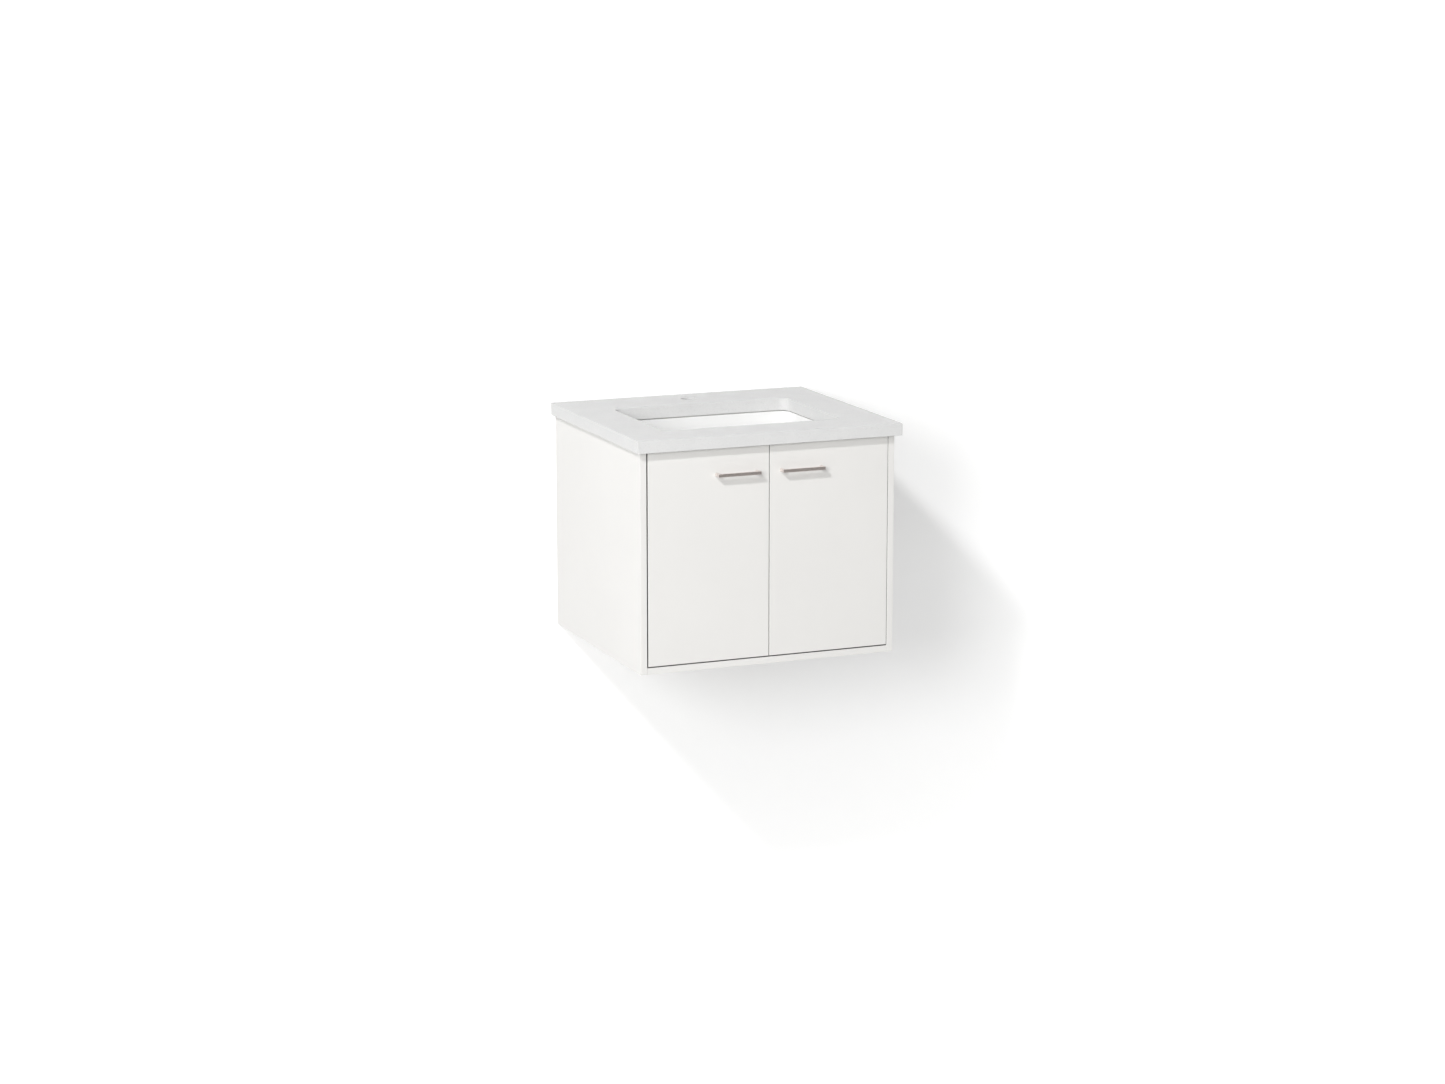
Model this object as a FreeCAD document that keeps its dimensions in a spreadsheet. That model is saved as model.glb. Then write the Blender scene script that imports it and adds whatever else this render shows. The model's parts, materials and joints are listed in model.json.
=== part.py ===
"""Wall-hung bathroom vanity: two-door cabinet, stone top, undermount basin and concealed hinges.

Frame, in millimetres: +X to the right, +Y towards the wall, +Z up.  The wall is the plane y = 0 and
the origin is the middle of the four wall-fixing holes.  The doors open towards -Y.
"""
import FreeCAD, Part
import math
import os
import re

import Sketcher

DIMENSIONS = (
    # countertop
    ("top_width", 635, "countertop, side to side"),
    ("top_depth", 566, "countertop, wall to front edge"),
    ("top_thick", 28, "countertop thickness"),
    ("top_ease", 1, "rounding of the countertop edges"),
    ("cutout_width", 432, "sink cut-out, side to side"),
    ("cutout_depth", 318, "sink cut-out, front to back"),
    ("cutout_round", 20, "corner radius of the cut-out"),
    ("cutout_setback", 139.5, "wall to the rear edge of the cut-out"),
    ("faucet_bore", 17.5, "radius of the faucet hole"),
    ("faucet_setback", 66.5, "wall to the faucet hole's centre"),
    # cabinet boards
    ("cab_width", 612, "cabinet, outside"),
    ("cab_depth", 548, "cabinet, wall to door fronts"),
    ("cab_height", 500, "cabinet, without the countertop"),
    ("board", 15, "thickness of the cabinet boards"),
    ("board_ease", 0.8, "rounding of the visible board edges"),
    ("hang_rail_height", 100, "upper wall rail"),
    ("low_rail_height", 80, "lower wall rail"),
    ("front_rail_height", 45, "rail behind the tops of the doors"),
    ("front_rail_setback", 20, "door fronts to the front rail"),
    ("block_leg", 30, "legs of the corner blocks"),
    ("fixing_pitch", 406.4, "wall-fixing holes, side to side"),
    ("fixing_rise", 390, "wall-fixing holes, lower to upper"),
    ("fixing_bore", 4.5, "radius of the wall-fixing holes"),
    # shelf
    ("shelf_top", -45, "height of the shelf's upper face"),
    ("shelf_front", -500, "front edge of the shelf"),
    ("shelf_rear", -20, "rear edge of the shelf"),
    ("shelf_play", 1, "gap between the shelf and each side panel"),
    ("shelf_notch", 260, "width and depth of the notch around the drain pipe"),
    ("pin_round", 2.5, "radius of the shelf pins"),
    ("pin_collar", 4, "radius of the collar on a pin"),
    ("pin_in_panel", 10, "length of a pin in the side panel"),
    ("pin_under_shelf", 8, "length of a pin under the shelf"),
    ("pin_front", -460, "front row of shelf-pin holes"),
    ("pin_rear", -60, "rear row of shelf-pin holes"),
    ("pin_pitch", 32, "distance between the pin holes in a row"),
    # doors
    ("door_thick", 18, "door thickness"),
    ("door_ease", 1.0, "rounding of the door edges"),
    ("left_gap", 3, "left door to side panel; the doors hang a little to the right"),
    ("middle_gap", 1.4, "between the two doors"),
    ("right_gap", 1, "right door to side panel"),
    ("bottom_gap", 2.5, "doors to bottom panel"),
    ("top_gap", 3, "door to countertop"),
    # pulls
    ("pull_length", 102, "pull, end to end"),
    ("pull_reach", 20, "pull, door face to front face"),
    ("pull_height", 7, "pull bar, bottom to top"),
    ("pull_bar", 6, "pull bar, front to back"),
    ("pull_leg", 6, "width of each leg"),
    ("pull_drop", 61, "countertop underside to the pull's centre line"),
    ("pull_inset", 26.5, "cabinet centre to the pull's inner end"),
    ("pull_ease", 0.4, "rounding of the pull's edges"),
    ("pull_bolt", 2, "radius of the pull screws"),
    ("pull_thread", 12, "depth of the threaded holes in the pull's legs"),
    ("pull_head", 3.9, "radius of the pull screws' heads"),
    ("pull_head_height", 2.4, "height of those heads"),
    # soft bumpers behind the tops of the doors
    ("bumper", 4.6, "radius of a bumper"),
    ("bumper_height", 1.7, "thickness of a bumper"),
    ("bumper_inner", 22, "cabinet centre to the inner bumpers"),
    ("bumper_outer", 268, "cabinet centre to the outer bumpers"),
    ("bumper_drop", 16, "countertop underside to the bumpers"),
    # basin
    ("reveal", 3, "the countertop covers the bowl's rim by this much"),
    ("wall_thick", 9, "thickness of the bowl's walls"),
    ("flange_reach", 25, "bowl's rim to the outer edge of the flange"),
    ("flange_thick", 12, "thickness of the flange"),
    ("bead", 3, "silicone between the flange and the countertop"),
    ("bead_setback", 4, "bowl's rim to the inner edge of the silicone"),
    ("bead_margin", 2, "outer edge of the flange to the outer edge of the silicone"),
    ("bowl_depth", 140, "flange top to the bowl's floor"),
    ("floor_thick", 10, "thickness of the bowl's floor"),
    ("draft", 13.5, "how far each wall leans in, top to floor"),
    ("bowl_round", 24, "corner radius of the bowl"),
    ("floor_round", 20, "radius between the walls and the floor"),
    ("drain_bore", 22.5, "radius of the drain hole"),
    ("drain_seat", 31, "radius of the drain flange's seat"),
    ("drain_sink", 2.5, "depth of that seat"),
    ("boss", 36, "radius of the boss under the drain hole"),
    ("boss_drop", 8, "height of that boss"),
    ("overflow_width", 40, "overflow slot, side to side"),
    ("overflow_height", 8, "overflow slot, bottom to top"),
    ("overflow_drop", 44, "flange top to the middle of the overflow slot"),
    ("overflow_wall", 8, "thickness of the ceramic around the overflow"),
    ("overflow_shell", 9, "how far the overflow chimney stands out of the bowl's wall"),
    ("overflow_skin", 3, "ceramic under the overflow channel"),
    ("overflow_way", 4, "how far the overflow shaft reaches beyond the bowl's wall"),
    # clips that hold the basin
    ("clip_x", 260, "clip studs, from the centre line"),
    ("clip_y", 110, "clip studs, from the basin's centre"),
    ("clip_thick", 2, "thickness of the clips"),
    ("clip_inwards", 27, "stud to the clip's inner end"),
    ("clip_outwards", 15, "stud to the clip's outer face"),
    ("clip_half", 8, "half the width of a clip"),
    ("stud", 3, "radius of the clip studs"),
    ("stud_tail", 16, "how far the studs reach below the flange"),
    ("nut_hub", 6, "radius and height of a wing nut's hub"),
    ("nut_top", 4.5, "radius of the hub's narrow end"),
    ("nut_span", 11, "wing nut's centre to the tip of a wing"),
    ("nut_wing", 12, "clip to the lower edge of the wings"),
    ("nut_wing_half", 1.1, "half the thickness of a wing"),
    ("insert_round", 4.5, "outer radius of the brass inserts"),
    ("insert_depth", 13, "depth of the brass inserts"),
    # joints between the boards
    ("dowel", 4, "radius of the dowels"),
    ("dowel_side", 11, "dowel length in a side panel"),
    ("dowel_end", 19, "dowel length in the other board"),
    ("cam", 7.5, "radius of the cam locks"),
    ("cam_depth", 12.5, "thickness of the cam locks"),
    ("cam_reach", 34, "board end to the middle of the cam lock"),
    ("cam_bolt", 3.5, "radius of the cam bolts"),
    ("cam_slot", 3, "radius of the recess in a cam lock"),
    ("cam_slot_depth", 2, "depth of that recess"),
    ("cam_front", -448, "bottom panel's front cam locks"),
    ("cam_rear", -110, "bottom panel's rear cam locks"),
    ("dowel_front", -400, "bottom panel's front dowels"),
    ("dowel_rear", -158, "bottom panel's rear dowels"),
    ("hang_spread", 34, "hanging rail, cam lock to each dowel"),
    ("low_spread", 26, "lower rail, cam lock to each dowel"),
    ("front_spread", 10, "front rail, its middle to the cam lock and to the dowel"),
    ("hole_rest", 0.5, "room left at the blind end of a hole"),
    ("fit", 0.05, "radial play between a fastener and its hole"),
    # concealed hinges; u is measured from the side panel, v from the door fronts
    ("hinge_rise", 165, "hinges above and below the cabinet's middle"),
    ("swing_u", 2.5, "the line that the door turns about, from the side panel"),
    ("cup_centre", 25, "the cup's centre, from the side panel"),
    ("cup", 17.5, "outer radius of the cup"),
    ("cup_depth", 12.5, "depth of the cup"),
    ("cup_wall", 1.2, "thickness of the cup and its flange"),
    ("cup_wing", 29, "half the height of the cup's flange"),
    ("cup_near", 11, "the cup's centre to the flange's edge near the side panel"),
    ("cup_far", 16, "the cup's centre to the flange's far edge"),
    ("cup_screw_u", 9.5, "the cup's centre to its screws, across"),
    ("cup_screw_rise", 22.5, "the cup's centre to its screws, up and down"),
    ("cup_pin", 15.7, "half the length of the pin in the cup"),
    ("arm_u", 28.5, "arm pivot, from the side panel"),
    ("arm_v", 14.5, "arm pivot, from the door fronts"),
    ("cup_u", 19, "cup pivot, from the side panel"),
    ("cup_v", 13.5, "cup pivot, from the door fronts"),
    ("pivot", 1.25, "radius of the hinge pins"),
    ("eye", 1.33, "radius of the holes that the pins turn in"),
    ("link_round", 2.6, "half the width of the hinge links"),
    ("link_thick", 1.6, "thickness of the hinge links"),
    ("sleeve", 2.3, "radius of the links' sleeves"),
    ("knee_pin", 8.7, "half the length of the knee pin"),
    ("outer_link", 4.5, "hinge middle to the outer link's plates"),
    ("inner_link", 6.6, "hinge middle to the inner link's plates"),
    ("plate_v", 55, "plate screws, from the door fronts"),
    ("plate_screw_rise", 16, "plate screws, above and below the hinge's middle"),
    ("plate_thick", 2, "thickness of the mounting plate"),
    ("plate_half", 9, "half the width of the mounting plate"),
    ("plate_wing", 22, "half the height of the mounting plate"),
    ("rail_front", 40, "front end of the plate's rail"),
    ("rail_rear", 80, "rear end of the plate's rail"),
    ("rail_top", 20, "height of the rail above the side panel"),
    ("rail_half", 6.5, "half the width of the rail"),
    ("arm_low", 12, "lower edge of the arm's cheeks, from the side panel"),
    ("arm_top", 29, "outer face of the arm, from the side panel"),
    ("arm_skin", 2, "thickness of the arm's sheet"),
    ("arm_front", 34, "front end of the arm's channel"),
    ("arm_rear", 84, "rear end of the arm"),
    ("arm_half", 9, "half the width of the arm"),
    ("stem_half", 4, "half the width of the arm's nose"),
    ("arm_pin", 6.4, "half the length of the pin in the arm"),
    ("adjuster_front", 47, "front adjusting screw"),
    ("adjuster_rear", 71, "rear adjusting screw"),
    ("adjuster", 1.9, "radius of the adjusting screws"),
    ("adjuster_head", 3.4, "radius of their heads"),
    ("adjuster_head_height", 1.6, "height of their heads"),
    ("wood_screw", 1.75, "radius of the wood screws"),
    ("wood_screw_head", 3.3, "radius of the plate screws' heads"),
    ("cup_screw_head", 2.9, "radius of the cup screws' heads"),
    ("head_sink", 1.6, "depth of the plate's countersinks"),
    ("head_lift", 0.4, "bottom of those countersinks above the side panel"),
    ("wood_screw_length", 10.5, "how far a wood screw reaches into the board"),
    ("cross_half", 0.45, "half the width of a cross recess"),
    ("cross_reach", 2.6, "half the length of a cross recess in a large head"),
    ("cross_small", 1.9, "half the length of a cross recess in a small head"),
    ("cross_depth", 1, "depth of a cross recess"),
)
DIM = {alias: value for alias, value, _ in DIMENSIONS}

# expressions used again and again
HALF = "cab_width / 2"
INNER = "(cab_width / 2 - board)"
TOP = "cab_height / 2"
FLOOR = "(-cab_height / 2 + board)"
FRONT = "-cab_depth"
DOOR_BACK = "(-cab_depth + door_thick)"
DOOR_WIDTH = f"({INNER} - (left_gap + middle_gap + right_gap) / 2)"
SINK_Y = "(-cutout_setback - cutout_depth / 2)"
BOWL_X = "(cutout_width / 2 + reveal)"
BOWL_Y = "(cutout_depth / 2 + reveal)"
FLANGE_TOP = "(cab_height / 2 - bead)"
BOWL_FLOOR = "(cab_height / 2 - bead - bowl_depth)"
PULL_Z = "(cab_height / 2 - pull_drop)"
PULL_LEGS = ("pull_leg / 2", "pull_length - pull_leg / 2")
KNEE_U = "(cup_u + arm_u - swing_u)"
KNEE_V = "(cup_v + arm_v)"

NEAR = 0.01     # two places closer than this are the same

# how a piece drawn along +Z is turned to lie along another direction
TURNS = {
    "+Z": FreeCAD.Rotation(),
    "-Z": FreeCAD.Rotation(FreeCAD.Vector(1, 0, 0), 180),
    "+X": FreeCAD.Rotation(FreeCAD.Vector(0, 1, 0), 90),
    "-X": FreeCAD.Rotation(FreeCAD.Vector(0, 1, 0), -90),
    "+Y": FreeCAD.Rotation(FreeCAD.Vector(1, 0, 0), -90),
    "-Y": FreeCAD.Rotation(FreeCAD.Vector(1, 0, 0), 90),
}

doc = FreeCAD.newDocument("vanity")
sheet = doc.addObject("Spreadsheet::Sheet", "dims")
for row, (alias, value, meaning) in enumerate(DIMENSIONS, start=1):
    sheet.set(f"A{row}", meaning)
    sheet.set(f"B{row}", str(value))
    sheet.setAlias(f"B{row}", alias)
doc.recompute()

parts = []
SIDES = (("left", "-"), ("right", ""))      # each side and the sign of its x
OUTWARDS = {"left": "-X", "right": "+X"}
INWARDS = {"left": "+X", "right": "-X"}
PAIR = ("", "-")                            # signs of a pair, one each side of the middle


# ---------------------------------------------------------------- helpers
def bind(item, setting, rule):
    """Drive one setting of an item from the spreadsheet."""
    rule = re.sub(r"[a-z_]+", lambda word: "dims." * (word.group() in DIM) + word.group(), str(rule))
    item.setExpression(setting, rule)


def put(item, at, turn=None):
    """Place an item; at holds three expressions."""
    if turn is not None:
        item.Placement = FreeCAD.Placement(FreeCAD.Vector(), turn)
    for letter, rule in zip("xyz", at):
        bind(item, f"Placement.Base.{letter}", rule)


def block(name, x, y, z):
    """A box; each of x, y and z is a low and a high expression."""
    item = doc.addObject("Part::Box", name)
    for size, (low, high) in zip(("Length", "Width", "Height"), (x, y, z)):
        bind(item, size, f"({high}) - ({low})")
    put(item, (x[0], y[0], z[0]))
    return item


def rod(name, radius, length, at, direction="+Z"):
    item = doc.addObject("Part::Cylinder", name)
    bind(item, "Radius", radius)
    bind(item, "Height", length)
    put(item, at, TURNS[direction])
    return item


def cone(name, radius, end_radius, length, at, direction="+Z"):
    item = doc.addObject("Part::Cone", name)
    bind(item, "Radius1", radius)
    bind(item, "Radius2", end_radius)
    bind(item, "Height", length)
    put(item, at, TURNS[direction])
    return item


def group(name, items):
    """Separate solids held as one object."""
    item = doc.addObject("Part::Compound", name)
    item.Links = items
    return item


def fuse(name, items):
    item = doc.addObject("Part::MultiFuse", name)
    item.Shapes = items
    return item


def cut(name, base, tools):
    item = doc.addObject("Part::Cut", name)
    item.Base = base
    item.Tool = tools[0] if len(tools) == 1 else group(name + "_tools", tools)
    return item


def copies(name, master, places):
    """The same piece at several places; each place is (at, rotation)."""
    links = []
    for number, (at, turn) in enumerate(places, start=1):
        link = doc.addObject("App::Link", f"{name}_{number}")
        link.LinkedObject = master
        put(link, at, turn)
        links.append(link)
    return group(name, links)


def keep(item, name):
    """Give a finished sub-part its name."""
    item.Label = name
    parts.append(item)
    return item


def plane(body, role):
    return next(feature for feature in body.Origin.OriginFeatures if feature.Role == role)


def sketch(body, name, role, height):
    """A sketch on one of the body's own planes, raised by height along the plane's normal."""
    drawing = body.newObject("Sketcher::SketchObject", name)
    drawing.AttachmentSupport = [(plane(body, role), "")]
    drawing.MapMode = "FlatFace"
    bind(drawing, "AttachmentOffset.Base.z", height)
    return drawing


def measure(drawing, kind, references, rule, start=1.0):
    number = drawing.addConstraint(Sketcher.Constraint(kind, *references, start))
    bind(drawing, f"Constraints[{number}]", rule)


def locate(drawing, geometry, point, x, y, drawn_at=FreeCAD.Vector(1, 1, 0)):
    """Dimension a point of a sketch from the sketch's origin."""
    measure(drawing, "DistanceX", (-1, 1, geometry, point), x, drawn_at.x)
    measure(drawing, "DistanceY", (-1, 1, geometry, point), y, drawn_at.y)


def rectangle(drawing, x, y):
    """A rectangle; x and y are a low and a high expression each."""
    first = drawing.GeometryCount
    corners = [FreeCAD.Vector(*pair, 0) for pair in ((0, 0), (9, 0), (9, 9), (0, 9))]
    for side in range(4):
        drawing.addGeometry(Part.LineSegment(corners[side], corners[(side + 1) % 4]))
    for side in range(4):
        ends = (first + side, 2, first + (side + 1) % 4, 1)
        drawing.addConstraint(Sketcher.Constraint("Coincident", *ends))
        level = "Vertical" if side % 2 else "Horizontal"
        drawing.addConstraint(Sketcher.Constraint(level, first + side))
    locate(drawing, first, 1, x[0], y[0])
    locate(drawing, first + 2, 1, x[1], y[1])


def circle(drawing, x, y, radius):
    ring = Part.Circle(FreeCAD.Vector(1, 1, 0), FreeCAD.Vector(0, 0, 1), 1)
    number = drawing.addGeometry(ring)
    locate(drawing, number, 3, x, y)
    measure(drawing, "Radius", (number,), radius)


def triangle(drawing, leg):
    """A right-angled triangle with its square corner at the origin."""
    corners = [FreeCAD.Vector(*pair, 0) for pair in ((0, 0), (9, 0), (0, 9))]
    for side in range(3):
        drawing.addGeometry(Part.LineSegment(corners[side], corners[(side + 1) % 3]))
    for side in range(3):
        drawing.addConstraint(Sketcher.Constraint("Coincident", side, 2, (side + 1) % 3, 1))
    locate(drawing, 0, 1, "0", "0")
    locate(drawing, 0, 2, leg, "0")
    locate(drawing, 2, 1, "0", leg)


def link_outline(drawing, first, second):
    """A bar with round ends about two pivots, each given as (rules, point)."""
    (rules_a, a), (rules_b, b) = first, second
    angle = math.atan2(b.y - a.y, b.x - a.x)
    side = FreeCAD.Vector(-math.sin(angle), math.cos(angle), 0) * DIM["link_round"]
    upright = FreeCAD.Vector(0, 0, 1)
    quarter = math.pi / 2
    drawing.addGeometry(Part.LineSegment(a + side, b + side))
    drawing.addGeometry(Part.LineSegment(b - side, a - side))
    for centre, low in ((b, angle - quarter), (a, angle + quarter)):
        ring = Part.Circle(centre, upright, DIM["link_round"])
        drawing.addGeometry(Part.ArcOfCircle(ring, low, low + math.pi))
    for ends in ((0, 2, 2, 2), (1, 1, 2, 1), (1, 2, 3, 2), (0, 1, 3, 1)):
        drawing.addConstraint(Sketcher.Constraint("Tangent", *ends))
    drawing.addConstraint(Sketcher.Constraint("Equal", 2, 3))
    measure(drawing, "Radius", (2,), "link_round", DIM["link_round"])
    locate(drawing, 2, 3, *rules_b, b)
    locate(drawing, 3, 3, *rules_a, a)


def pad(body, name, role, low, high, draw, *where):
    """Add material between two heights; draw(sketch, *where) draws the outline."""
    drawing = sketch(body, name + "_sketch", role, low)
    draw(drawing, *where)
    feature = body.newObject("PartDesign::Pad", name)
    feature.Profile = drawing
    bind(feature, "Length", f"({high}) - ({low})")
    return feature


def pocket(body, name, role, low, high, outlines):
    """Take material away between two heights; each outline is (draw, *where)."""
    drawing = sketch(body, name + "_sketch", role, high)
    for draw, *where in outlines:
        draw(drawing, *where)
    feature = body.newObject("PartDesign::Pocket", name)
    feature.Profile = drawing
    bind(feature, "Length", f"({high}) - ({low})")
    return feature


def loft(body, name, kind, levels):
    """Join rectangles at several heights; each level is (height, x, y)."""
    drawings = []
    for number, (height, x, y) in enumerate(levels, start=1):
        drawing = sketch(body, f"{name}_sketch_{number}", "XY_Plane", height)
        rectangle(drawing, x, y)
        drawings.append(drawing)
    feature = body.newObject(kind, name)
    feature.Profile = drawings[0]
    feature.Sections = drawings[1:]
    return feature


def round_edges(body, name, radius, wanted):
    """Fillet the edges of the body's last feature for which wanted(edge) is true."""
    doc.recompute()
    base = body.Tip
    edges = [f"Edge{n}" for n, edge in enumerate(base.Shape.Edges, start=1) if wanted(edge)]
    if not edges:
        raise RuntimeError(f"{name} found no edges")
    feature = body.newObject("PartDesign::Fillet", name)
    feature.Base = (base, edges)
    bind(feature, "Radius", radius)
    return feature


def new_body(name):
    return doc.addObject("PartDesign::Body", name)


def is_upright(edge):
    """True for a straight edge along Z."""
    start, end = (vertex.Point for vertex in edge.Vertexes[:: len(edge.Vertexes) - 1])
    return math.hypot(start.x - end.x, start.y - end.y) < 1e-6


def spread(low, high):
    """The same expression either side of zero, as a low and a high."""
    return (f"-({low})", high)


def around(middle, half):
    return (f"{middle} - ({half})", f"{middle} + ({half})")


# ---------------------------------------------------------------- countertop
def make_countertop():
    body = new_body("countertop")
    pad(body, "slab", "XY_Plane", TOP, f"{TOP} + top_thick", rectangle,
        spread("top_width / 2", "top_width / 2"), ("-top_depth", "0"))
    pocket(body, "sink_cutout", "XY_Plane", TOP, f"{TOP} + top_thick",
           [(rectangle, spread("cutout_width / 2", "cutout_width / 2"),
             around(SINK_Y, "cutout_depth / 2"))])
    reach = DIM["cutout_width"] / 2 + 1
    round_edges(body, "cutout_corners", "cutout_round",
                lambda edge: is_upright(edge) and abs(edge.CenterOfMass.x) < reach)
    pocket(body, "faucet_hole", "XY_Plane", TOP, f"{TOP} + top_thick",
           [(circle, "0", "-faucet_setback", "faucet_bore")])
    sockets = [(circle, f"{side}clip_x", f"{SINK_Y} + {row}clip_y", "insert_round + fit")
               for side in PAIR for row in PAIR]
    pocket(body, "insert_sockets", "XY_Plane", TOP, f"{TOP} + insert_depth", sockets)
    upper = DIM["cab_height"] / 2 + DIM["top_thick"]
    side = DIM["top_width"] / 2

    def eased(edge):
        """The upper edges, and the outer ones except along the wall."""
        box = edge.BoundBox
        outside = max(abs(box.XMin), abs(box.XMax)) > side - NEAR or box.YMax < NEAR - DIM["top_depth"]
        return box.YMin < -NEAR and (box.ZMin > upper - NEAR or outside)

    round_edges(body, "eased_edges", "top_ease", eased)
    keep(body, "countertop")


# ---------------------------------------------------------------- cabinet boards
RAIL_Y = "-board / 2"
FRONT_RAIL_Y = "(-cab_depth + front_rail_setback + board / 2)"
BASE_Z = "(-cab_height / 2 + board / 2)"
HANG_Z = "(cab_height / 2 - hang_rail_height / 2)"
LOW_Z = "(-cab_height / 2 + board + low_rail_height / 2)"
FRONT_RAIL_Z = "(cab_height / 2 - front_rail_height / 2)"
PIN_Z = "(shelf_top - board - pin_round)"

# each board's joints to the side panels: cams and dowels as (y, z), and the cams' side
JOINTS = {
    "bottom_panel": ("+Z", [("cam_front", BASE_Z), ("cam_rear", BASE_Z)],
                     [("dowel_front", BASE_Z), ("dowel_rear", BASE_Z)]),
    "hanging_rail": ("-Y", [(RAIL_Y, HANG_Z)],
                     [(RAIL_Y, f"{HANG_Z} + hang_spread"), (RAIL_Y, f"{HANG_Z} - hang_spread")]),
    "lower_rail": ("-Y", [(RAIL_Y, LOW_Z)],
                   [(RAIL_Y, f"{LOW_Z} + low_spread"), (RAIL_Y, f"{LOW_Z} - low_spread")]),
    "front_rail": ("-Y", [(FRONT_RAIL_Y, f"{FRONT_RAIL_Z} + front_spread")],
                   [(FRONT_RAIL_Y, f"{FRONT_RAIL_Z} - front_spread")]),
}


def cam_place(sign, face, y, z):
    """Where a cam lock starts, on the hidden face of its board."""
    start = (y, f"({z}) - board / 2") if face == "+Z" else (f"({y}) + board / 2", z)
    return (f"{sign}({INNER} - cam_reach)", *start)


def joint_drills(board):
    """Holes at both ends of a board for its cams, cam bolts and dowels."""
    face, cams, dowels = JOINTS[board]
    drills = []
    for side, sign in SIDES:
        for number, (y, z) in enumerate(cams, start=1):
            label = f"{board}_{side}_{number}"
            drills.append(rod(label + "_cam_hole", "cam + fit", "cam_depth",
                              cam_place(sign, face, y, z), face))
            drills.append(rod(label + "_bolt_hole", "cam_bolt + fit", "cam_reach",
                              (f"{sign}{INNER}", y, z), INWARDS[side]))
        for number, (y, z) in enumerate(dowels, start=1):
            drills.append(rod(f"{board}_{side}_dowel_hole_{number}", "dowel + fit", "dowel_end",
                              (f"{sign}{INNER}", y, z), INWARDS[side]))
    return drills


def is_front_arris(edge):
    """True for a long straight edge on the cabinet's front plane."""
    box = edge.BoundBox
    return box.YMax < NEAR - DIM["cab_depth"] and max(box.XLength, box.ZLength) > DIM["board"] + 1


def make_rails():
    across = spread(INNER, INNER)
    bottom = new_body("bottom_board")
    pad(bottom, "bottom_slab", "XY_Plane", "-cab_height / 2", FLOOR, rectangle, across, (FRONT, "0"))
    round_edges(bottom, "bottom_edges", "board_ease", is_front_arris)
    keep(cut("bottom_panel", bottom, joint_drills("bottom_panel")), "bottom_panel")

    def fixings(rail, z):
        return [rod(f"{rail}_fixing_{side}", "fixing_bore", "board",
                    (f"{sign}fixing_pitch / 2", "-board", z), "+Y") for side, sign in SIDES]

    hanging = block("hanging_board", across, ("-board", "0"), (f"{TOP} - hang_rail_height", TOP))
    drills = joint_drills("hanging_rail") + fixings("hanging_rail", "fixing_rise / 2")
    keep(cut("hanging_rail", hanging, drills), "hanging_rail")

    lower = block("lower_board", across, ("-board", "0"), (FLOOR, f"{FLOOR} + low_rail_height"))
    drills = joint_drills("lower_rail") + fixings("lower_rail", "-fixing_rise / 2")
    keep(cut("lower_rail", lower, drills), "lower_rail")

    front_face = "(-cab_depth + front_rail_setback)"
    front = block("front_board", across, (front_face, f"{front_face} + board"),
                  (f"{TOP} - front_rail_height", TOP))
    keep(cut("front_rail", front, joint_drills("front_rail")), "front_rail")


def make_side_panels():
    pin_steps = range(-2, 3)
    for side, sign in SIDES:
        body = new_body(f"side_panel_{side}_blank")
        low, high = (f"-{HALF}", f"-{INNER}") if side == "left" else (INNER, HALF)
        pad(body, f"panel_{side}", "YZ_Plane", low, high, rectangle, (FRONT, "0"), spread(TOP, TOP))
        round_edges(body, f"panel_{side}_edges", "board_ease", is_front_arris)
        wall = f"{sign}{INNER}"
        sockets = []
        for board, (_, cams, dowels) in JOINTS.items():
            sockets += [(f"{board}_bolt", "cam_bolt", y, z) for y, z in cams]
            sockets += [(f"{board}_dowel", "dowel", y, z) for y, z in dowels]
        for row in ("pin_front", "pin_rear"):
            sockets += [("shelf_pin", "pin_round", row, f"{PIN_Z} + {step} * pin_pitch")
                        for step in pin_steps]
        for rise in PAIR:
            sockets += [("plate_screw", "wood_screw", f"{FRONT} + plate_v",
                         f"{rise}hinge_rise + {offset}plate_screw_rise") for offset in PAIR]
        drills = [rod(f"{side}_{name}_socket", f"{radius} + fit", "dowel_side", (wall, y, z), OUTWARDS[side])
                  for name, radius, y, z in sockets]
        keep(cut(f"side_panel_{side}", body, drills), f"side_panel_{side}")


def make_fasteners():
    """Dowels, cam locks and cam bolts between the boards and the side panels."""
    dowels, locks, bolts = [], [], []
    dowel_length = "dowel_side + dowel_end - 2 * hole_rest"
    bolt_length = "dowel_side + cam_reach - cam - 2 * hole_rest"
    for face, cam_places, dowel_places in JOINTS.values():
        for side, sign in SIDES:
            far_end = f"{sign}({INNER} + dowel_side - hole_rest)"
            for y, z in dowel_places:
                dowels.append(rod("dowel_pin", "dowel", dowel_length, (far_end, y, z), INWARDS[side]))
            for y, z in cam_places:
                at = cam_place(sign, face, y, z)
                lock = rod("cam_body", "cam", "cam_depth", at, face)
                recess = rod("cam_recess", "cam_slot", "cam_slot_depth", at, face)
                locks.append(cut("cam_lock", lock, [recess]))
                bolts.append(rod("cam_bolt", "cam_bolt", bolt_length, (far_end, y, z), INWARDS[side]))
    keep(group("dowels", dowels), "dowels")
    keep(group("cam_locks", locks), "cam_locks")
    keep(group("cam_bolts", bolts), "cam_bolts")


def make_corner_blocks():
    body = new_body("corner_block")
    pad(body, "corner_wedge", "XY_Plane", "0", "board", triangle, "block_leg")
    front = "(-cab_depth + front_rail_setback + board)"
    places = []
    for x, y, turn in ((f"-{INNER}", front, 0), (INNER, front, 90),
                       (INNER, "-board", 180), (f"-{INNER}", "-board", 270)):
        rotation = FreeCAD.Rotation(FreeCAD.Vector(0, 0, 1), turn)
        places.append(((x, y, f"{TOP} - board"), rotation))
    keep(copies("corner_blocks", body, places), "corner_blocks")


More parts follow.
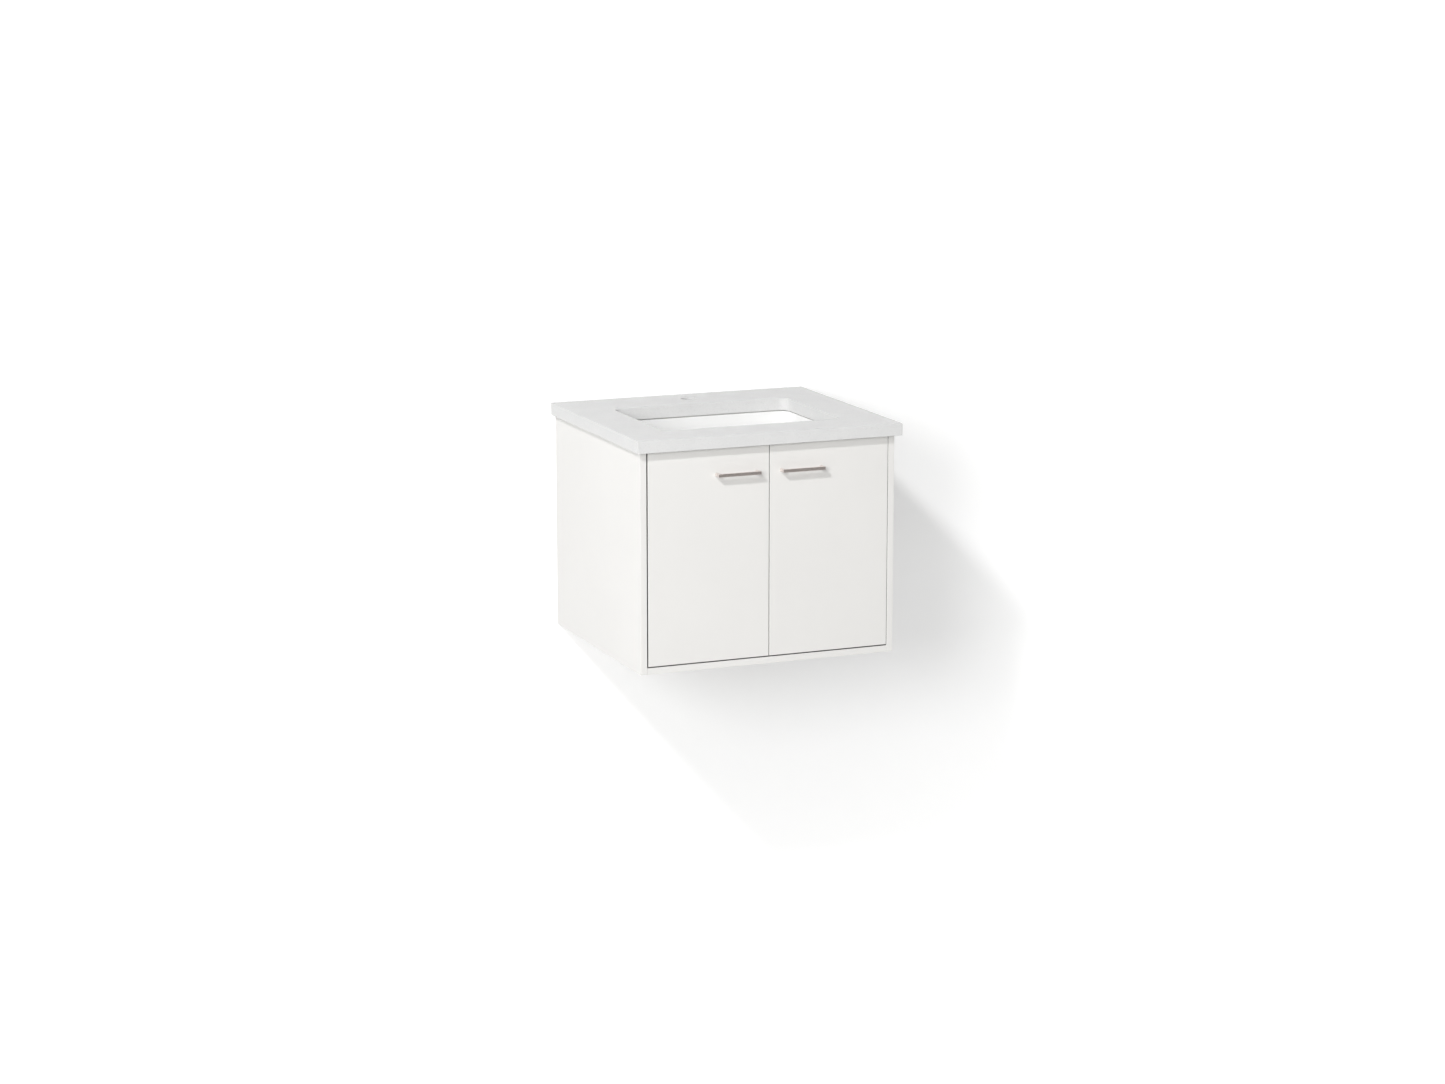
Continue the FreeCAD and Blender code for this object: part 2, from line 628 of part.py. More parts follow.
def make_shelf():
    width = spread(f"{INNER} - shelf_play", f"{INNER} - shelf_play")
    height = ("shelf_top - board", "shelf_top")
    board = block("shelf_board", width, ("shelf_front", "shelf_rear"), height)
    notch = block("shelf_cutaway", spread("shelf_notch / 2", "shelf_notch / 2"),
                  ("shelf_rear - shelf_notch", "shelf_rear"), height)
    keep(cut("shelf", board, [notch]), "shelf")
    pins = []
    for side, sign in SIDES:
        for row in ("pin_front", "pin_rear"):
            pin = rod("pin_shank", "pin_round", "pin_in_panel + pin_under_shelf",
                      (f"{sign}({INNER} + pin_in_panel)", row, PIN_Z), INWARDS[side])
            collar = rod("pin_flange", "pin_collar", "shelf_play",
                         (f"{sign}{INNER}", row, PIN_Z), INWARDS[side])
            pins.append(fuse("shelf_pin", [pin, collar]))
    keep(group("shelf_pins", pins), "shelf_pins")


# ---------------------------------------------------------------- basin and what holds it
def make_basin():
    body = new_body("sink_basin")
    flange_x = f"{BOWL_X} + flange_reach"
    flange_y = f"{BOWL_Y} + flange_reach"
    underside = f"({FLANGE_TOP} - flange_thick)"
    pad(body, "flange", "XY_Plane", underside, FLANGE_TOP, rectangle,
        spread(flange_x, flange_x), around(SINK_Y, flange_y))
    outer_x = f"{BOWL_X} + wall_thick"
    outer_y = f"{BOWL_Y} + wall_thick"
    base = f"({BOWL_FLOOR} - floor_thick)"
    loft(body, "bowl_outside", "PartDesign::AdditiveLoft", [
        (f"{underside} + flange_thick / 3", spread(outer_x, outer_x), around(SINK_Y, outer_y)),
        (base, spread(f"{outer_x} - draft", f"{outer_x} - draft"), around(SINK_Y, f"{outer_y} - draft")),
    ])
    loft(body, "bowl_inside", "PartDesign::SubtractiveLoft", [
        (FLANGE_TOP, spread(BOWL_X, BOWL_X), around(SINK_Y, BOWL_Y)),
        (BOWL_FLOOR, spread(f"{BOWL_X} - draft", f"{BOWL_X} - draft"), around(SINK_Y, f"{BOWL_Y} - draft")),
    ])
    half_x = DIM["cutout_width"] / 2 + DIM["reveal"]
    half_y = DIM["cutout_depth"] / 2 + DIM["reveal"]
    middle = -DIM["cutout_setback"] - DIM["cutout_depth"] / 2
    floor = DIM["cab_height"] / 2 - DIM["bead"] - DIM["bowl_depth"]
    bottom = floor - DIM["floor_thick"]
    mid_wall = half_x - DIM["draft"] / 2 + DIM["wall_thick"] / 2

    def slanted(edge):
        return edge.BoundBox.ZLength > DIM["bowl_depth"] * 0.8

    def inside_floor_edge(edge):
        box = edge.BoundBox
        level = abs(box.ZMin - floor) < NEAR and abs(box.ZMax - floor) < NEAR
        return level and abs(edge.CenterOfMass.y - middle) < half_y

    round_edges(body, "inside_corners", "bowl_round",
                lambda edge: slanted(edge) and abs(edge.CenterOfMass.x) < mid_wall)
    round_edges(body, "inside_floor", "floor_round", inside_floor_edge)
    round_edges(body, "outside_corners", "bowl_round + wall_thick / 2",
                lambda edge: slanted(edge) and abs(edge.CenterOfMass.x) > mid_wall)
    flange_middle = DIM["cab_height"] / 2 - DIM["bead"] - DIM["flange_thick"] / 2
    round_edges(body, "flange_corners", "flange_reach",
                lambda edge: is_upright(edge) and abs(edge.CenterOfMass.z - flange_middle) < 1)
    round_edges(body, "outside_base", "floor_round + floor_thick / 2",
                lambda edge: edge.BoundBox.ZMax < bottom + NEAR)
    boss_low = f"({base} - boss_drop)"
    in_floor = f"{base} + floor_thick / 5"
    pad(body, "drain_boss", "XY_Plane", boss_low, in_floor, circle, "0", SINK_Y, "boss")

    # overflow: a chimney on the front wall that runs under the floor into the drain hole
    front = f"({SINK_Y} - {BOWL_Y})"
    in_wall = f"{front} - wall_thick / 2"
    chimney = spread("overflow_width / 2 + overflow_wall", "overflow_width / 2 + overflow_wall")
    chimney_front = f"{front} - wall_thick - overflow_shell"
    slot_z = f"({FLANGE_TOP} - overflow_drop)"
    loft(body, "overflow_chimney", "PartDesign::AdditiveLoft", [
        (base, chimney, (chimney_front, f"{in_wall} + draft")),
        (f"{slot_z} + overflow_height / 2 + overflow_wall", chimney,
         (chimney_front, f"{in_wall} + draft / 6")),
    ])
    pad(body, "overflow_duct", "XY_Plane", boss_low, in_floor, rectangle, chimney, (chimney_front, SINK_Y))
    pocket(body, "drain_hole", "XY_Plane", boss_low, BOWL_FLOOR, [(circle, "0", SINK_Y, "drain_bore")])
    pocket(body, "drain_recess", "XY_Plane", f"{BOWL_FLOOR} - drain_sink", BOWL_FLOOR,
           [(circle, "0", SINK_Y, "drain_seat")])
    slot = spread("overflow_width / 2", "overflow_width / 2")
    shaft = (f"{front} - wall_thick - overflow_way", in_wall)
    channel_low = f"{boss_low} + overflow_skin"
    pocket(body, "overflow_slot", "XY_Plane", f"{slot_z} - overflow_height / 2",
           f"{slot_z} + overflow_height / 2", [(rectangle, slot, (shaft[0], f"{front} + draft"))])
    pocket(body, "overflow_shaft", "XY_Plane", channel_low, slot_z, [(rectangle, slot, shaft)])
    pocket(body, "overflow_channel", "XY_Plane", channel_low, f"{channel_low} + overflow_way",
           [(rectangle, slot, (shaft[0], SINK_Y))])
    keep(body, "sink_basin")


def make_bead():
    outer_x = f"{BOWL_X} + flange_reach - bead_margin"
    outer_y = f"{BOWL_Y} + flange_reach - bead_margin"
    inner_x = f"{BOWL_X} + bead_setback"
    inner_y = f"{BOWL_Y} + bead_setback"
    body = new_body("sealant")
    pad(body, "bead_outside", "XY_Plane", FLANGE_TOP, TOP, rectangle,
        spread(outer_x, outer_x), around(SINK_Y, outer_y))
    pocket(body, "bead_inside", "XY_Plane", FLANGE_TOP, TOP,
           [(rectangle, spread(inner_x, inner_x), around(SINK_Y, inner_y))])
    round_edges(body, "bead_corners", "bowl_round", is_upright)
    keep(body, "sink_sealant")


def make_clips():
    """Four metal clips on studs pull the flange up against the countertop."""
    underside = f"({FLANGE_TOP} - flange_thick)"
    below = f"({underside} - clip_thick)"
    width = spread("clip_half", "clip_half")
    strip = block("clip_strip", spread("clip_inwards", "clip_outwards"), width, (below, underside))
    leg = block("clip_leg", ("clip_outwards - clip_thick", "clip_outwards"), width, (below, TOP))
    hole = rod("clip_hole", "stud + clip_thick / 6", "3 * clip_thick", ("0", "0", f"{below} - clip_thick"))
    clip = cut("clip", fuse("clip_blank", [strip, leg]), [hole])

    stud_low = f"({underside} - stud_tail)"
    stud_length = f"{TOP} + insert_depth - 2 * hole_rest - {stud_low}"
    stud = group("clip_stud", [rod("clip_stud_rod", "stud", stud_length, ("0", "0", stud_low))])

    tube = rod("insert_tube", "insert_round", "insert_depth - hole_rest", ("0", "0", TOP))
    bore = rod("insert_bore", "stud + fit", "insert_depth", ("0", "0", TOP))
    insert = cut("insert", tube, [bore])

    hub = cone("nut_hub_cone", "nut_hub", "nut_top", "nut_hub", ("0", "0", below), "-Z")
    wings = block("nut_wings", spread("nut_span", "nut_span"), spread("nut_wing_half", "nut_wing_half"),
                  (f"{below} - nut_wing", f"{below} - nut_hub / 3"))
    gap = block("nut_gap", spread("nut_span / 2", "nut_span / 2"), spread("stud", "stud"),
                (f"{below} - nut_wing - 1", f"{below} - nut_hub"))
    nut_hole = rod("nut_hole", "stud + fit", "nut_wing", ("0", "0", f"{below} - nut_wing"))
    nut = cut("nut", fuse("nut_blank", [hub, cut("nut_ears", wings, [gap])]), [nut_hole])

    places = []
    for sign, turn in zip(PAIR, (0, 180)):
        rotation = FreeCAD.Rotation(FreeCAD.Vector(0, 0, 1), turn)
        places += [((f"{sign}clip_x", f"{SINK_Y} + {row}clip_y", "0"), rotation) for row in PAIR]
    for name, master in (("sink_clips", clip), ("sink_clip_studs", stud),
                         ("sink_clip_inserts", insert), ("sink_wing_nuts", nut)):
        keep(copies(name, master, places), name)


# ---------------------------------------------------------------- doors and pulls
def cross_head(name, blank, face, axis, reach):
    """Cut a cross recess into a screw's head; face is the middle of the head's flat face."""
    x, y, z = face
    bars = []
    for wide, high in ((reach, "cross_half"), ("cross_half", reach)):
        if axis == "Y":
            bars.append(block(name + "_bar", around(x, wide), around(y, "cross_depth"), around(z, high)))
        else:
            bars.append(block(name + "_bar", around(x, "cross_depth"), around(y, wide), around(z, high)))
    return cut(name, blank, bars)


def make_doors():
    left_edge = f"(-{INNER} + left_gap)"
    right_edge = f"({INNER} - right_gap)"
    widths = {"left": (left_edge, f"{left_edge} + {DOOR_WIDTH}"),
              "right": (f"{right_edge} - {DOOR_WIDTH}", right_edge)}
    heights = (f"{FLOOR} + bottom_gap", f"{TOP} - top_gap")
    for side, sign in SIDES:
        body = new_body(f"door_{side}_blank")
        # the plane's normal points to -Y
        pad(body, f"door_{side}_slab", "XZ_Plane", "cab_depth - door_thick", "cab_depth", rectangle,
            widths[side], heights)
        round_edges(body, f"door_{side}_edges", "door_ease", is_front_arris)
        drills = []
        cup_x = f"{sign}({INNER} - cup_centre)"
        screw_x = f"{sign}({INNER} - cup_centre - cup_screw_u)"
        for rise in PAIR:
            drills.append(rod(f"door_{side}_cup", "cup + fit", "cup_depth",
                              (cup_x, DOOR_BACK, f"{rise}hinge_rise"), "-Y"))
            for offset in PAIR:
                z = f"{rise}hinge_rise + {offset}cup_screw_rise"
                drills.append(rod(f"door_{side}_screw_hole", "wood_screw + fit",
                                  "wood_screw_length + hole_rest", (screw_x, DOOR_BACK, z), "-Y"))
        for leg in PULL_LEGS:
            drills.append(rod(f"door_{side}_pull_hole", "pull_bolt + fit", "door_thick",
                              (f"{sign}(pull_inset + {leg})", DOOR_BACK, PULL_Z), "-Y"))
        keep(cut(f"door_{side}", body, drills), f"door_{side}")


def make_pulls():
    height = around(PULL_Z, "pull_height / 2")
    head_face = f"({DOOR_BACK} + pull_head_height)"
    for side, sign in SIDES:
        ends = ("pull_inset", "pull_inset + pull_length")
        if side == "left":
            ends = (f"-({ends[1]})", f"-{ends[0]}")
        body = new_body(f"pull_{side}_blank")
        pad(body, f"pull_{side}_bar", "XY_Plane", *height, rectangle, ends, (f"{FRONT} - pull_reach", FRONT))
        pocket(body, f"pull_{side}_grip", "XY_Plane", *height,
               [(rectangle, (f"{ends[0]} + pull_leg", f"{ends[1]} - pull_leg"),
                 (f"{FRONT} - pull_reach + pull_bar", FRONT))])
        round_edges(body, f"pull_{side}_edges", "pull_ease",
                    lambda edge: edge.BoundBox.YMin < -DIM["cab_depth"] - NEAR)
        holes, screws = [], []
        for leg in PULL_LEGS:
            x = f"{sign}(pull_inset + {leg})"
            holes.append(rod(f"pull_{side}_thread", "pull_bolt + fit", "pull_thread",
                             (x, FRONT, PULL_Z), "-Y"))
            shank = rod("pull_screw_shank", "pull_bolt", "door_thick + pull_thread - 2 * hole_rest",
                        (x, DOOR_BACK, PULL_Z), "-Y")
            head = cone("pull_screw_top", "pull_head", "pull_head - hole_rest", "pull_head_height",
                        (x, DOOR_BACK, PULL_Z), "+Y")
            blank = fuse("pull_screw_blank", [shank, head])
            screws.append(cross_head("pull_screw", blank, (x, head_face, PULL_Z), "Y", "cross_reach"))
        keep(cut(f"pull_{side}", body, holes), f"pull_{side}")
        keep(group(f"pull_screws_{side}", screws), f"pull_screws_{side}")
        feet = [cone("bumper_foot", "bumper", "bumper - 1", "bumper_height",
                     (f"{sign}{x}", DOOR_BACK, f"{TOP} - bumper_drop"), "+Y")
                for x in ("bumper_inner", "bumper_outer")]
        keep(group(f"door_bumpers_{side}", feet), f"door_bumpers_{side}")


# ---------------------------------------------------------------- concealed hinges
# Drawn at the origin: x is u, from the side panel; y is v, from the door fronts towards the wall.
ARM = FreeCAD.Vector(DIM["arm_u"], DIM["arm_v"], 0)
CUP = FreeCAD.Vector(DIM["cup_u"], DIM["cup_v"], 0)
KNEE = ARM + CUP - FreeCAD.Vector(DIM["swing_u"], 0, 0)
ADJUSTERS = ("adjuster_front", "adjuster_rear")


def hinge_cup():
    shell = rod("cup_shell", "cup", "cup_depth", ("cup_centre", "door_thick", "0"), "-Y")
    flange = block("cup_flange", ("cup_centre - cup_near", "cup_centre + cup_far"),
                   ("door_thick", "door_thick + cup_wall"), spread("cup_wing", "cup_wing"))
    pin = rod("cup_pin_rod", "pivot", "2 * cup_pin", ("cup_u", "cup_v", "-cup_pin"))
    rear = "door_thick + cup_wall"
    tools = [rod("cup_hollow", "cup - cup_wall", "cup_depth", ("cup_centre", rear, "0"), "-Y")]
    for sign in PAIR:
        screw = ("cup_centre + cup_screw_u", rear, f"{sign}cup_screw_rise")
        tools.append(rod("cup_screw_hole", "wood_screw + fit", "2 * cup_wall", screw, "-Y"))
        tools.append(cone("cup_sink", "cup_screw_head + fit", "wood_screw + fit", "cup_wall", screw, "-Y"))
    body = cut("cup_open", fuse("cup_blank", [shell, flange]), tools)
    return fuse("hinge_cup", [body, pin])


def hinge_arm():
    shell = block("arm_shell", ("arm_low", "arm_top"), ("arm_front", "arm_rear"),
                  spread("arm_half", "arm_half"))
    hollow = block("arm_hollow", ("arm_low", "arm_top - arm_skin"), ("arm_front + arm_skin", "arm_rear"),
                   spread("arm_half - arm_skin", "arm_half - arm_skin"))
    stem = block("arm_stem", ("arm_u - link_round", "arm_top"), ("arm_v", "arm_front + arm_skin"),
                 spread("stem_half", "stem_half"))
    boss = rod("arm_boss", "link_round", "2 * stem_half", ("arm_u", "arm_v", "-stem_half"))
    pin = rod("arm_pin_rod", "pivot", "2 * arm_pin", ("arm_u", "arm_v", "-arm_pin"))
    holes = [rod("arm_screw_hole", "adjuster + fit", "3 * arm_skin", ("arm_top - 2 * arm_skin", v, "0"), "+X")
             for v in ADJUSTERS]
    channel = cut("arm_channel", shell, [hollow] + holes)
    return fuse("hinge_arm", [channel, stem, boss, pin])


def hinge_plate():
    wings = block("plate_wings", ("0", "plate_thick"), around("plate_v", "plate_half"),
                  spread("plate_wing", "plate_wing"))
    rail = block("plate_rail", ("0", "rail_top"), ("rail_front", "rail_rear"),
                 spread("rail_half", "rail_half"))
    tools = [rod("plate_adjuster_hole", "adjuster + fit", "rail_top / 2 + 1",
                 ("rail_top / 2 - 1", v, "0"), "+X") for v in ADJUSTERS]
    for sign in PAIR:
        z = f"{sign}plate_screw_rise"
        tools.append(rod("plate_screw_hole", "wood_screw + fit", "plate_thick", ("0", "plate_v", z), "+X"))
        tools.append(cone("plate_sink", "wood_screw + fit", "wood_screw_head + fit", "head_sink",
                          ("head_lift", "plate_v", z), "+X"))
    return cut("hinge_plate", fuse("plate_blank", [wings, rail]), tools)


def adjusting_screws():
    """From inside the plate's rail through the arm."""
    screws = []
    low = "(rail_top / 2 + hole_rest)"
    for v in ADJUSTERS:
        shank = rod("adjuster_shank", "adjuster", f"arm_top - {low}", (low, v, "0"), "+X")
        head = cone("adjuster_top", "adjuster_head", "adjuster_head - head_lift", "adjuster_head_height",
                    ("arm_top", v, "0"), "+X")
        blank = fuse("adjuster_blank", [shank, head])
        face = "(arm_top + adjuster_head_height)"
        screws.append(cross_head("adjusting_screw", blank, (face, v, "0"), "X", "cross_reach"))
    return group("adjusters", screws)


def plate_screws():
    screws = []
    for sign in PAIR:
        z = f"{sign}plate_screw_rise"
        shank = rod("plate_screw_shank", "wood_screw", "wood_screw_length + head_lift",
                    ("head_lift", "plate_v", z), "-X")
        head = cone("plate_screw_top", "wood_screw", "wood_screw_head", "head_sink",
                    ("head_lift", "plate_v", z), "+X")
        blank = fuse("plate_screw_blank", [shank, head])
        face = "(head_lift + head_sink)"
        screws.append(cross_head("plate_screw", blank, (face, "plate_v", z), "X", "cross_small"))
    return group("plate_screws", screws)


def cup_screws():
    u = "(cup_centre + cup_screw_u)"
    screws = []
    for sign in PAIR:
        z = f"{sign}cup_screw_rise"
        shank = rod("cup_screw_shank", "wood_screw", "wood_screw_length", (u, "door_thick", z), "-Y")
        head = cone("cup_screw_top", "wood_screw", "cup_screw_head", "cup_wall", (u, "door_thick", z), "+Y")
        blank = fuse("cup_screw_blank", [shank, head])
        face = "(door_thick + cup_wall)"
        screws.append(cross_head("cup_screw", blank, (u, face, z), "Y", "cross_small"))
    return group("cup_screws", screws)


def outer_link():
    """Turns on the arm's pin and carries the knee pin."""
    body = new_body("outer_link_body")
    pivots = ((("arm_u", "arm_v"), ARM), ((KNEE_U, KNEE_V), KNEE))
    plate = ("outer_link", "outer_link + link_thick")
    pad(body, "outer_plate_top", "XY_Plane", *plate, link_outline, *pivots)
    pad(body, "knee_sleeve", "XY_Plane", "-outer_link", "outer_link", circle, KNEE_U, KNEE_V, "sleeve")
    pad(body, "outer_plate_low", "XY_Plane", f"-({plate[1]})", "-outer_link", link_outline, *pivots)
    pad(body, "knee_pin_pad", "XY_Plane", "-knee_pin", "knee_pin", circle, KNEE_U, KNEE_V, "pivot")
    pocket(body, "arm_eye", "XY_Plane", "-knee_pin", "knee_pin", [(circle, "arm_u", "arm_v", "eye")])
    return body


def inner_link():
    """Turns on the cup's pin and on the knee pin."""
    body = new_body("inner_link_body")
    pivots = ((("cup_u", "cup_v"), CUP), ((KNEE_U, KNEE_V), KNEE))
    plate = ("inner_link", "inner_link + link_thick")
    pad(body, "inner_plate_top", "XY_Plane", *plate, link_outline, *pivots)
    pad(body, "cup_sleeve", "XY_Plane", "-inner_link", "inner_link", circle, "cup_u", "cup_v", "sleeve")
    pad(body, "inner_plate_low", "XY_Plane", f"-({plate[1]})", "-inner_link", link_outline, *pivots)
    pocket(body, "link_eyes", "XY_Plane", "-knee_pin", "knee_pin",
           [(circle, "cup_u", "cup_v", "eye"), (circle, KNEE_U, KNEE_V, "eye")])
    return body


def make_hinges():
    masters = {
        "hinge_cups": hinge_cup(),
        "hinge_cup_screws": cup_screws(),
        "hinge_arms": hinge_arm(),
        "hinge_plates": hinge_plate(),
        "hinge_plate_screws": plate_screws(),
        "hinge_adjusting_screws": adjusting_screws(),
        "hinge_outer_links": outer_link(),
        "hinge_inner_links": inner_link(),
    }
    # turned half round its depth axis, a hinge fits the other side
    for side, sign, turn in (("left", "-", 0), ("right", "", 180)):
        rotation = FreeCAD.Rotation(FreeCAD.Vector(0, 1, 0), turn)
        places = [((f"{sign}{INNER}", FRONT, f"{rise}hinge_rise"), rotation) for rise in PAIR]
        for name, master in masters.items():
            keep(copies(f"{name}_{side}", master, places), f"{name}_{side}")


make_countertop()
make_rails()
make_side_panels()
make_fasteners()
make_corner_blocks()
make_shelf()
make_basin()
make_bead()
make_clips()
make_doors()
make_pulls()
make_hinges()
doc.recompute()

for item in doc.Objects:
    if "Invalid" in item.State or "Error" in item.State:
        raise RuntimeError(f"{item.Label} failed: {item.State}")
for item in parts:
    if item.Shape.isNull() or not item.Shape.isValid() or not item.Shape.Solids:
        raise RuntimeError(f"{item.Label} has no valid shape")

os.makedirs("parts", exist_ok=True)
for item in parts:
    item.Shape.exportStep(f"parts/{item.Label}.step")
print(f"{len(parts)} sub-parts written")
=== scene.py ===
"""Looks for the wall-hung bathroom vanity: materials, wall, floor, light and camera.  Metres throughout."""
import json
import math

import bpy
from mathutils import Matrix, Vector


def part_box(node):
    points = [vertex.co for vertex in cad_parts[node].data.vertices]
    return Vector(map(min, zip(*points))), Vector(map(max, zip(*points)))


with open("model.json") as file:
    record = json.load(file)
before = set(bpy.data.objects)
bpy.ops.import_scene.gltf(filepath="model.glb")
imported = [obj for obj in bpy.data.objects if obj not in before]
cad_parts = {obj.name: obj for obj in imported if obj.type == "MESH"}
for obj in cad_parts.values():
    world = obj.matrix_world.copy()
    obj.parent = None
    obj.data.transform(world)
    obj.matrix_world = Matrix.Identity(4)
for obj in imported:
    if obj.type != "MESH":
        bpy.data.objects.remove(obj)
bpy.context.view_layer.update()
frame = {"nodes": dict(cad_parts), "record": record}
NODES = frame["nodes"]
MM = 0.001


# ---------------------------------------------------------------- node helpers
def new_material(name):
    """An empty node material; returns it with its tree and its Principled shader."""
    material = bpy.data.materials.new(name)
    material.use_nodes = True
    tree = material.node_tree
    return material, tree, tree.nodes["Principled BSDF"]


def add(tree, kind, settings=None, **sockets):
    """Add a node; a socket value is a number, a colour or another node's output."""
    node = tree.nodes.new(kind)
    for key, value in (settings or {}).items():
        setattr(node, key, value)
    for key, value in sockets.items():
        socket = node.inputs[key.replace("_", " ")]
        if isinstance(value, bpy.types.NodeSocket):
            tree.links.new(value, socket)
        else:
            socket.default_value = value
    return node


def place(tree, scale=(1, 1, 1)):
    """Positions on the piece in metres, stretched by scale."""
    where = tree.nodes.new("ShaderNodeTexCoord")
    return add(tree, "ShaderNodeMapping", Vector=where.outputs["Object"], Scale=scale).outputs[0]


def noise(tree, where, scale, detail=2.0, roughness=0.5):
    return add(tree, "ShaderNodeTexNoise", Vector=where, Scale=scale, Detail=detail,
               Roughness=roughness).outputs["Fac"]


def cells(tree, where, scale):
    """Random grey per cell."""
    grains = add(tree, "ShaderNodeTexVoronoi", Vector=where, Scale=scale)
    return add(tree, "ShaderNodeSeparateColor", Color=grains.outputs["Color"]).outputs["Red"]


def ramp(tree, factor, *stops):
    """A colour ramp through (position, colour) stops."""
    node = add(tree, "ShaderNodeValToRGB", Fac=factor)
    elements = node.color_ramp.elements
    for index, (position, colour) in enumerate(stops):
        element = elements[index] if index < 2 else elements.new(position)
        element.position = position
        element.color = (*colour, 1)
    return node.outputs["Color"]


def span(tree, factor, low, high, start=0.0, end=1.0):
    """Rescale a factor from start..end to low..high."""
    node = add(tree, "ShaderNodeMapRange", Value=factor)
    for socket, value in zip(("From Min", "From Max", "To Min", "To Max"), (start, end, low, high)):
        node.inputs[socket].default_value = value
    return node.outputs["Result"]


def blend(tree, factor, first, second, mode="MIX"):
    node = tree.nodes.new("ShaderNodeMix")
    node.data_type = "RGBA"
    node.blend_type = mode
    for socket, value in ((node.inputs[0], factor), (node.inputs[6], first), (node.inputs[7], second)):
        if isinstance(value, bpy.types.NodeSocket):
            tree.links.new(value, socket)
        else:
            socket.default_value = value
    return node.outputs[2]


def bump(tree, height, strength, depth):
    """A normal from a height map; depth is in metres."""
    return add(tree, "ShaderNodeBump", Height=height, Strength=strength, Distance=depth).outputs["Normal"]


def painted_gap_shade(tree):
    """Painted shade: 1 on open faces, falling to GAP_DARKEST inside narrow gaps, where it darkens the colour.
    """
    seen = add(tree, "ShaderNodeAmbientOcclusion", {"samples": GAP_SAMPLES}, Distance=GAP_REACH).outputs["AO"]
    return span(tree, seen, GAP_DARKEST, 1.0, GAP_CLOSED, GAP_OPEN)


def tinted(colour, amount):
    return tuple(channel * amount for channel in colour)


# ---------------------------------------------------------------- materials
WARM_WHITE = (0.865, 0.855, 0.835)
COOL_WHITE = (0.80, 0.805, 0.80)
# Painted shade: the lacquer's colour is darkened inside narrow gaps, by how little open view a face has.
GAP_REACH = 12 * MM                    # how far a face has to see to count as open for the painted gap shade
GAP_DARKEST = 0.03
GAP_CLOSED = 0.12                      # share of free view at which a face is darkest
GAP_OPEN = 0.50                        # and the share from which it isn't darkened
GAP_SAMPLES = 6


def lacquer():
    """Sprayed satin lacquer: a faint orange peel and slow changes of tone and gloss, with painted shade
    darkening the colour inside narrow gaps.
    """
    material, tree, shader = new_material("white_lacquer")
    where = place(tree)
    tone = ramp(tree, noise(tree, where, 5.0, 3.0), (0.3, tinted(WARM_WHITE, 0.985)), (0.7, WARM_WHITE))
    gap_shade = painted_gap_shade(tree)
    # painted shade: the tone is multiplied by the gap darkening
    tree.links.new(blend(tree, 1.0, tone, gap_shade, "MULTIPLY"), shader.inputs["Base Color"])
    tree.links.new(span(tree, noise(tree, where, 60.0), 0.30, 0.40), shader.inputs["Roughness"])
    peel = noise(tree, where, 420.0, 1.5)
    tree.links.new(bump(tree, peel, 0.10, 0.0002), shader.inputs["Normal"])
    shader.inputs["IOR"].default_value = 1.5
    return material


def melamine():
    """Matt white foil with a fine pebble."""
    material, tree, shader = new_material("white_melamine")
    where = place(tree)
    tone = ramp(tree, noise(tree, where, 9.0, 4.0), (0.3, tinted(COOL_WHITE, 0.97)), (0.7, COOL_WHITE))
    tree.links.new(tone, shader.inputs["Base Color"])
    tree.links.new(span(tree, noise(tree, where, 900.0), 0.46, 0.58), shader.inputs["Roughness"])
    pebble = noise(tree, where, 1500.0, 3.0, 0.6)
    tree.links.new(bump(tree, pebble, 0.25, 0.0001), shader.inputs["Normal"])
    return material


def quartz():
    """Engineered stone: fine pale and grey grains in a nearly white ground, polished."""
    material, tree, shader = new_material("pale_quartz")
    where = place(tree)
    ground = ramp(tree, noise(tree, where, 14.0, 5.0, 0.6), (0.35, (0.752, 0.753, 0.750)),
                  (0.68, (0.776, 0.776, 0.771)))
    fine = ramp(tree, cells(tree, where, 1100.0), (0.0, (0.955, 0.955, 0.955)), (1.0, (1.02, 1.02, 1.02)))
    coarse = ramp(tree, cells(tree, where, 420.0), (0.0, (0.95, 0.95, 0.95)), (0.12, (1, 1, 1)),
                  (0.9, (1, 1, 1)), (1.0, (1.03, 1.03, 1.03)))
    colour = blend(tree, 1.0, blend(tree, 0.6, ground, fine, "MULTIPLY"), coarse, "MULTIPLY")
    tree.links.new(colour, shader.inputs["Base Color"])
    tree.links.new(span(tree, noise(tree, where, 300.0), 0.15, 0.23), shader.inputs["Roughness"])
    tree.links.new(bump(tree, noise(tree, where, 800.0), 0.04, 0.0001), shader.inputs["Normal"])
    shader.inputs["Specular IOR Level"].default_value = 0.2
    return material


def porcelain():
    """Thick white glaze, very slightly wavy."""
    material, tree, shader = new_material("white_porcelain")
    where = place(tree)
    tone = ramp(tree, noise(tree, where, 7.0, 2.0), (0.3, (0.945, 0.946, 0.94)), (0.7, (0.96, 0.96, 0.954)))
    tree.links.new(tone, shader.inputs["Base Color"])
    tree.links.new(span(tree, noise(tree, where, 90.0), 0.05, 0.10), shader.inputs["Roughness"])
    tree.links.new(bump(tree, noise(tree, where, 45.0, 1.0), 0.10, 0.0005), shader.inputs["Normal"])
    shader.inputs["Coat Weight"].default_value = 0.8
    shader.inputs["Coat Roughness"].default_value = 0.03
    shader.inputs["Subsurface Weight"].default_value = 0.03
    shader.inputs["Subsurface Radius"].default_value = (0.002, 0.002, 0.0015)
    return material


